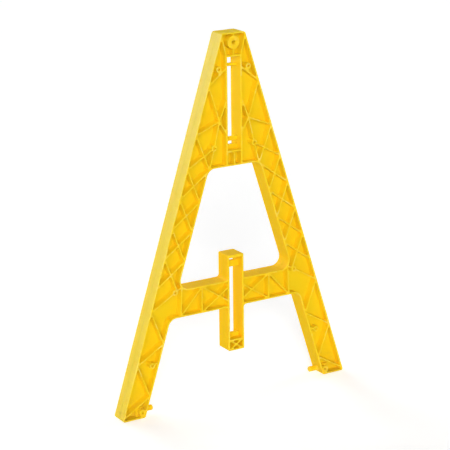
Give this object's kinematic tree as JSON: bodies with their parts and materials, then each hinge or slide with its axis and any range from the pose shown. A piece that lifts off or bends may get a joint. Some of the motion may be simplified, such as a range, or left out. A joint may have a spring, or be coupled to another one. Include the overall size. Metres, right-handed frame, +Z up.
{
  "type": "plank barricade end frame",
  "caption": "Flat moulded A-frame that carries the planks of a barricade or sawhorse: ribbed legs, crossbar, upper and lower plank slots, lamp bolt hole and foot pegs.",
  "frame": {"origin": "on the ground, midway between the feet and midway between the front and the rear face", "axes": "+Z up, +X to the right seen from the front, +Y from the front to the rear, along the planks"},
  "size_m": [0.7014, 0.05, 1],
  "materials": {
    "frame_plastic": "fine-grained moulded yellow polyethylene",
    "peg_plastic": "smooth moulded yellow polyethylene",
    "screw_steel": "zinc-plated, satin"
  },
  "bodies": {
    "root": {"front_half": "frame_plastic", "rear_half": "frame_plastic", "left_foot_peg": "peg_plastic", "right_foot_peg": "peg_plastic", "left_foot_screw": "screw_steel", "right_foot_screw": "screw_steel", "left_leg_screw": "screw_steel", "right_leg_screw": "screw_steel", "left_brace_screw": "screw_steel", "right_brace_screw": "screw_steel", "left_head_screw": "screw_steel", "right_head_screw": "screw_steel", "left_crown_screw": "screw_steel", "right_crown_screw": "screw_steel"}
  },
  "joints": []
}
